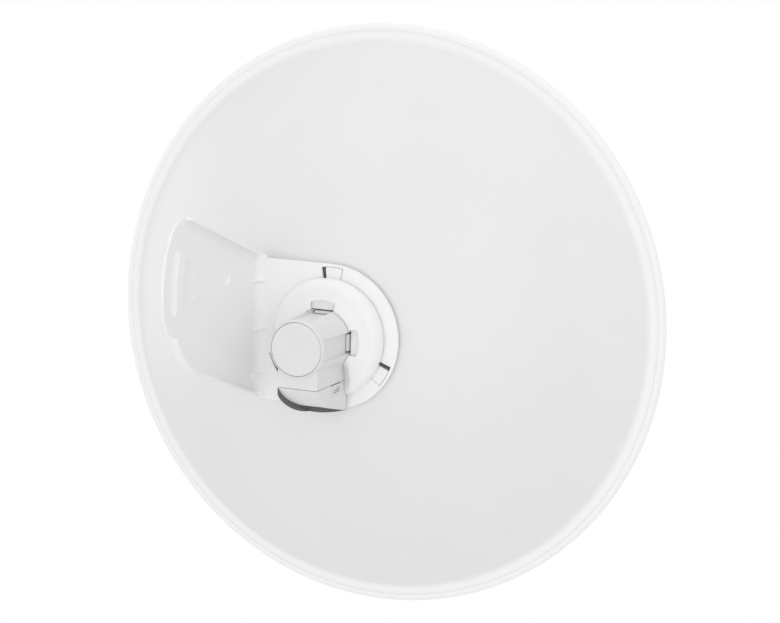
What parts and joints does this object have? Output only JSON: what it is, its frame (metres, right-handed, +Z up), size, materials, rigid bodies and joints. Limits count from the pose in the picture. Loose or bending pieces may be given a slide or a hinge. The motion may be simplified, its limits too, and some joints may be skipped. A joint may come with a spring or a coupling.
{
  "type": "outdoor wireless bridge",
  "caption": "Dish antenna bridge: round bowl, domed hub with a rear radio tube and cable box, front feed, folded side bracket with a pivot hole and tilt slot.",
  "frame": {"origin": "centre of the bracket's pivot hole, in the middle of the flange's sheet", "axes": "+X along the pivot hole's axis, from the flange towards the radio housing; +Y along the antenna's beam; +Z up in use"},
  "size_m": [0.5199, 0.3413, 0.52],
  "materials": {
    "painted_bowl": "satin white powder coat",
    "painted_bracket": "satin white powder coat",
    "shell_plastic": "fine moulded matte white",
    "rubber": "matte dark grey",
    "steel": "plain stainless",
    "tinplate": "tinned sheet",
    "aluminium": "die-cast, satin",
    "circuit_board": "green solder mask",
    "black_plastic": "moulded black",
    "gold": "gold flash",
    "clear_plastic": "clear moulded"
  },
  "bodies": {
    "bracket": {"mount_bracket": "painted_bracket"},
    "antenna": {"reflector": "painted_bowl", "hub_collar": "shell_plastic", "hub_washer": "rubber", "hub_plate": "shell_plastic", "front_bezel": "shell_plastic", "hub_screws": "steel", "latch_ring": "shell_plastic", "rear_housing": "shell_plastic", "rear_cap": "shell_plastic", "cap_gasket": "rubber", "main_board": "circuit_board", "shield_rear": "tinplate", "shield_front": "tinplate", "heat_spreader": "aluminium", "port_shell": "tinplate", "port_insert": "black_plastic", "port_contacts": "gold", "port_gasket": "rubber", "reset_switch": "black_plastic", "light_pipe": "clear_plastic", "feed_tube": "shell_plastic", "feed_radome": "shell_plastic", "dipole_board": "circuit_board", "sub_reflector": "tinplate", "feed_spacers": "shell_plastic", "feed_oring": "rubber", "board_screws": "steel"},
    "cover": {"cable_door": "shell_plastic", "cable_grommet": "rubber", "drip_lip": "rubber", "button_spring_left": "steel", "button_spring_right": "steel"},
    "pad_left": {"release_button_left": "shell_plastic"},
    "pad_right": {"release_button_right": "shell_plastic"},
    "reset": {"reset_button": "black_plastic"}
  },
  "joints": [
    {"name": "bayonet_twist", "type": "hinge", "parent": "bracket", "child": "antenna", "pos_m": [0.06985, 0, -0.0505], "axis": [0, -1, 0], "range_deg": [0, 3.5]},
    {"name": "cover_slide", "type": "slide", "parent": "antenna", "child": "cover", "axis": [0, 0, -1], "range_m": [0, 0.03]},
    {"name": "pad_left_press", "type": "slide", "parent": "cover", "child": "pad_left", "axis": [1, 0, 0], "range_m": [0, 0.0015], "stiffness_N_per_m": 800, "springref_m": -0.0008, "deforming": ["button_spring_left"]},
    {"name": "pad_right_press", "type": "slide", "parent": "cover", "child": "pad_right", "axis": [-1, 0, 0], "range_m": [0, 0.0015], "stiffness_N_per_m": 800, "springref_m": -0.0008, "deforming": ["button_spring_right"]},
    {"name": "reset_press", "type": "slide", "parent": "antenna", "child": "reset", "axis": [0, 0, 1], "range_m": [0, 0.001], "stiffness_N_per_m": 400, "springref_m": -0.0005}
  ]
}
